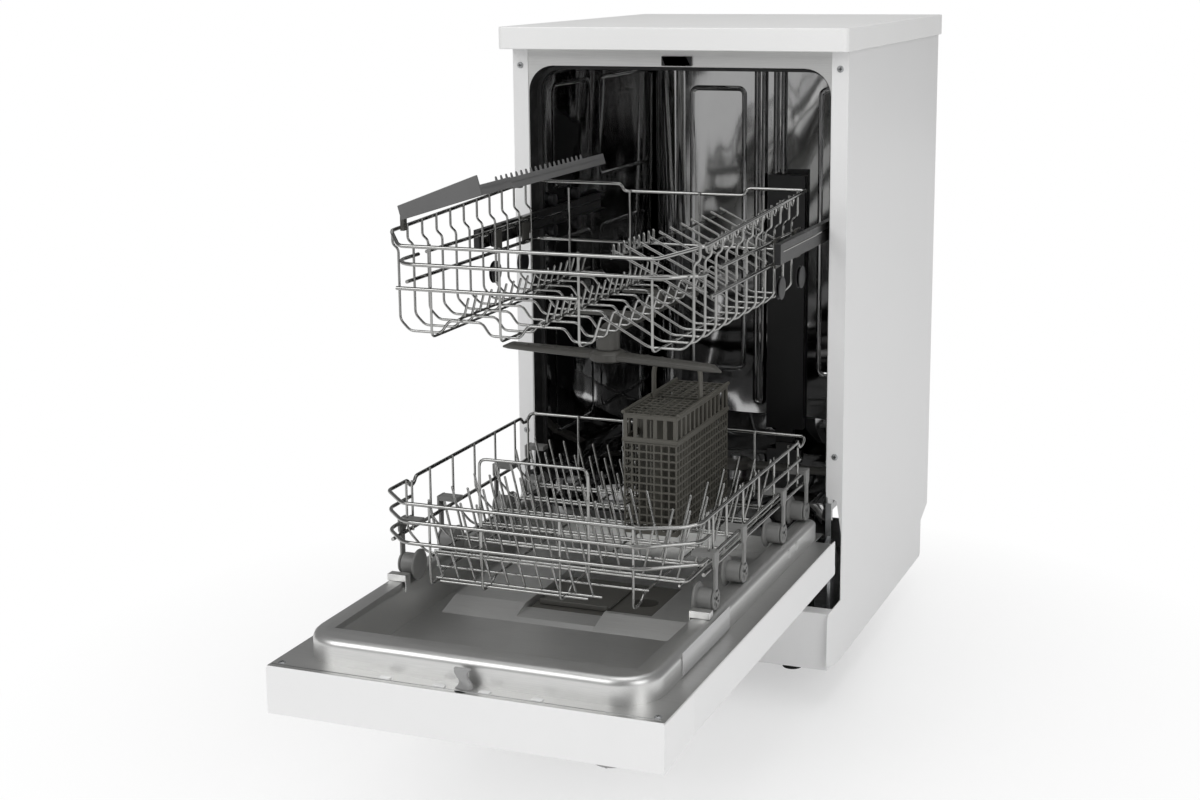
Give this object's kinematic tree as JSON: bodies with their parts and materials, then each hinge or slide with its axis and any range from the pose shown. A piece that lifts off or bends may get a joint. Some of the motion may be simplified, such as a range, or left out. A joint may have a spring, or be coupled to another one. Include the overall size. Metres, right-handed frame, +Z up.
{
  "type": "slimline dishwasher",
  "caption": "Free-standing slimline dishwasher with drop-down door, wheeled lower rack, railed upper rack, cutlery basket, cup shelf and spray arms.",
  "frame": {"origin": "middle of the standing area at the floor, with the door open", "axes": "+X to the machine's right seen from the front, +Y to its back, +Z up"},
  "size_m": [0.46, 1.164, 0.845],
  "materials": {
    "white_enamel": "gloss",
    "white_laminate": "satin",
    "zinc_sheet": "plain",
    "stainless": "bright",
    "bright_wire": "bright",
    "black_rubber": "matt",
    "black_plastic": "matt",
    "dark_grey_plastic": "matt",
    "grey_plastic": "matt",
    "light_grey_plastic": "matt",
    "white_plastic": "satin",
    "green_board": "matt"
  },
  "bodies": {
    "cabinet": {"worktop": "white_laminate", "side_panel_left": "white_enamel", "side_panel_right": "white_enamel", "rear_panel": "zinc_sheet", "base_tray": "dark_grey_plastic", "feet": "black_plastic", "kick_plate": "white_enamel", "tub": "stainless", "door_gasket": "black_rubber", "door_catch": "black_plastic", "water_duct": "dark_grey_plastic", "sump": "dark_grey_plastic", "circulation_pump": "grey_plastic", "drain_pump": "grey_plastic", "inlet_valve": "white_plastic", "hinge_brackets": "zinc_sheet", "cabinet_screws": "bright_wire", "filter_plate": "stainless", "rail_guides": "light_grey_plastic"},
    "filter": {"filter_cylinder": "grey_plastic"},
    "salt_cap": {"salt_cap": "white_plastic"},
    "lower_spray_arm": {"lower_spray_arm": "grey_plastic"},
    "door": {"door_outer_panel": "white_enamel", "door_liner": "stainless", "control_fascia": "white_plastic", "dispenser": "grey_plastic", "door_latch": "grey_plastic", "control_board": "green_board", "hinge_arms": "zinc_sheet", "door_screws": "bright_wire", "blank_plate": "white_plastic"},
    "dispenser_lid": {"dispenser_lid": "light_grey_plastic"},
    "power_button": {"power_button": "light_grey_plastic"},
    "start_button": {"start_button": "light_grey_plastic"},
    "program_knob": {"program_knob": "light_grey_plastic"},
    "rack_carrier": {"rack_stops": "grey_plastic"},
    "lower_rack": {"lower_rack_rails": "bright_wire", "lower_rack_wires": "bright_wire", "lower_rack_tines": "bright_wire", "wheel_carriers": "grey_plastic", "cutlery_basket": "grey_plastic", "cutlery_handle": "grey_plastic"},
    "cutlery_lid_left": {"cutlery_lid_left": "grey_plastic"},
    "cutlery_lid_right": {"cutlery_lid_right": "grey_plastic"},
    "upper_rack": {"upper_rack_rails": "bright_wire", "upper_rack_wires": "bright_wire", "roller_carriers": "grey_plastic", "spray_pipe": "grey_plastic"},
    "cup_shelf": {"cup_shelf": "grey_plastic"},
    "upper_spray_arm": {"upper_spray_arm": "grey_plastic"},
    "upper_rail_left": {"upper_rail_left": "stainless"},
    "upper_rail_right": {"upper_rail_right": "stainless"},
    "wheel_left_1": {"wheel_left_1": "light_grey_plastic"},
    "wheel_left_2": {"wheel_left_2": "light_grey_plastic"},
    "wheel_left_3": {"wheel_left_3": "light_grey_plastic"},
    "wheel_left_4": {"wheel_left_4": "light_grey_plastic"},
    "wheel_right_1": {"wheel_right_1": "light_grey_plastic"},
    "wheel_right_2": {"wheel_right_2": "light_grey_plastic"},
    "wheel_right_3": {"wheel_right_3": "light_grey_plastic"},
    "wheel_right_4": {"wheel_right_4": "light_grey_plastic"}
  },
  "joints": [
    {"name": "lower_rack_lift", "type": "hinge", "parent": "cabinet", "child": "rack_carrier", "pos_m": [0, 0.0465, 0.1865], "axis": [-1, 0, 0], "range_deg": [0, 3.5]},
    {"name": "door_hinge", "type": "hinge", "parent": "cabinet", "child": "door", "pos_m": [0, 0.0465, 0.1865], "axis": [-1, 0, 0], "range_deg": [0, 90]},
    {"name": "lower_rack_slide", "type": "slide", "parent": "rack_carrier", "child": "lower_rack", "axis": [0, -1, 0], "range_m": [-0.495, 0]},
    {"name": "upper_rack_slide", "type": "slide", "parent": "cabinet", "child": "upper_rack", "axis": [0, -1, 0], "range_m": [-0.47, 0]},
    {"name": "upper_rail_left_slide", "type": "slide", "parent": "cabinet", "child": "upper_rail_left", "axis": [0, -1, 0], "range_m": [-0.219, 0.001]},
    {"name": "upper_rail_right_slide", "type": "slide", "parent": "cabinet", "child": "upper_rail_right", "axis": [0, -1, 0], "range_m": [-0.219, 0.001]},
    {"name": "lower_spray_arm_spin", "type": "hinge", "parent": "cabinet", "child": "lower_spray_arm", "pos_m": [0, 0.33, 0.218], "axis": [0, 0, 1], "continuous": true},
    {"name": "upper_spray_arm_spin", "type": "hinge", "parent": "upper_rack", "child": "upper_spray_arm", "pos_m": [0, -0.163, 0.472], "axis": [0, 0, 1], "continuous": true},
    {"name": "filter_turn", "type": "hinge", "parent": "cabinet", "child": "filter", "pos_m": [0.02, 0.267, 0.198], "axis": [0, 0, 1], "range_deg": [0, 90]},
    {"name": "salt_cap_turn", "type": "hinge", "parent": "cabinet", "child": "salt_cap", "pos_m": [-0.125, 0.182, 0.2], "axis": [0, 0, 1], "range_deg": [0, 720]},
    {"name": "power_button_press", "type": "slide", "parent": "door", "child": "power_button", "axis": [0, 0, 1], "range_m": [0, 0.002], "stiffness_N_per_m": 300, "springref_m": -0.001},
    {"name": "start_button_press", "type": "slide", "parent": "door", "child": "start_button", "axis": [0, 0, 1], "range_m": [0, 0.002], "stiffness_N_per_m": 300, "springref_m": -0.001},
    {"name": "program_knob_turn", "type": "hinge", "parent": "door", "child": "program_knob", "pos_m": [0.15, -0.54, 0.155], "axis": [0, 0, -1], "continuous": true},
    {"name": "dispenser_lid_slide", "type": "slide", "parent": "door", "child": "dispenser_lid", "axis": [0, -1, 0], "range_m": [0, 0.09]},
    {"name": "cutlery_lid_left_hinge", "type": "hinge", "parent": "lower_rack", "child": "cutlery_lid_left", "pos_m": [0.027, -0.094, 0.4121], "axis": [0, 1, 0], "range_deg": [-110, 0]},
    {"name": "cutlery_lid_right_hinge", "type": "hinge", "parent": "lower_rack", "child": "cutlery_lid_right", "pos_m": [0.095, -0.094, 0.4121], "axis": [0, 1, 0], "range_deg": [0, 110]},
    {"name": "cup_shelf_hinge", "type": "hinge", "parent": "upper_rack", "child": "cup_shelf", "pos_m": [-0.179, -0.128, 0.6555], "axis": [0, -1, 0], "range_deg": [-16, 72]},
    {"name": "wheel_left_1_roll", "type": "hinge", "parent": "lower_rack", "child": "wheel_left_1", "pos_m": [-0.177, -0.332, 0.2495], "axis": [1, 0, 0], "range_deg": [-2330, 5]},
    {"name": "wheel_left_2_roll", "type": "hinge", "parent": "lower_rack", "child": "wheel_left_2", "pos_m": [-0.177, -0.232, 0.2495], "axis": [1, 0, 0], "range_deg": [-2330, 5]},
    {"name": "wheel_left_3_roll", "type": "hinge", "parent": "lower_rack", "child": "wheel_left_3", "pos_m": [-0.177, -0.076, 0.2495], "axis": [1, 0, 0], "range_deg": [-2330, 5]},
    {"name": "wheel_left_4_roll", "type": "hinge", "parent": "lower_rack", "child": "wheel_left_4", "pos_m": [-0.177, 0.024, 0.2495], "axis": [1, 0, 0], "range_deg": [-2330, 5]},
    {"name": "wheel_right_1_roll", "type": "hinge", "parent": "lower_rack", "child": "wheel_right_1", "pos_m": [0.177, -0.332, 0.2495], "axis": [1, 0, 0], "range_deg": [-2330, 5]},
    {"name": "wheel_right_2_roll", "type": "hinge", "parent": "lower_rack", "child": "wheel_right_2", "pos_m": [0.177, -0.232, 0.2495], "axis": [1, 0, 0], "range_deg": [-2330, 5]},
    {"name": "wheel_right_3_roll", "type": "hinge", "parent": "lower_rack", "child": "wheel_right_3", "pos_m": [0.177, -0.076, 0.2495], "axis": [1, 0, 0], "range_deg": [-2330, 5]},
    {"name": "wheel_right_4_roll", "type": "hinge", "parent": "lower_rack", "child": "wheel_right_4", "pos_m": [0.177, 0.024, 0.2495], "axis": [1, 0, 0], "range_deg": [-2330, 5]}
  ],
  "couplings": [
    {"joint": "door_hinge", "follows": "lower_rack_lift", "ratio": 1},
    {"joint": "upper_rail_left_slide", "follows": "upper_rack_slide", "ratio": 0.464},
    {"joint": "upper_rail_right_slide", "follows": "upper_rack_slide", "ratio": 0.464},
    {"joint": "wheel_left_1_roll", "follows": "lower_rack_slide", "rad_per_m": 81.967},
    {"joint": "wheel_left_2_roll", "follows": "lower_rack_slide", "rad_per_m": 81.967},
    {"joint": "wheel_left_3_roll", "follows": "lower_rack_slide", "rad_per_m": 81.967},
    {"joint": "wheel_left_4_roll", "follows": "lower_rack_slide", "rad_per_m": 81.967},
    {"joint": "wheel_right_1_roll", "follows": "lower_rack_slide", "rad_per_m": 81.967},
    {"joint": "wheel_right_2_roll", "follows": "lower_rack_slide", "rad_per_m": 81.967},
    {"joint": "wheel_right_3_roll", "follows": "lower_rack_slide", "rad_per_m": 81.967},
    {"joint": "wheel_right_4_roll", "follows": "lower_rack_slide", "rad_per_m": 81.967}
  ]
}
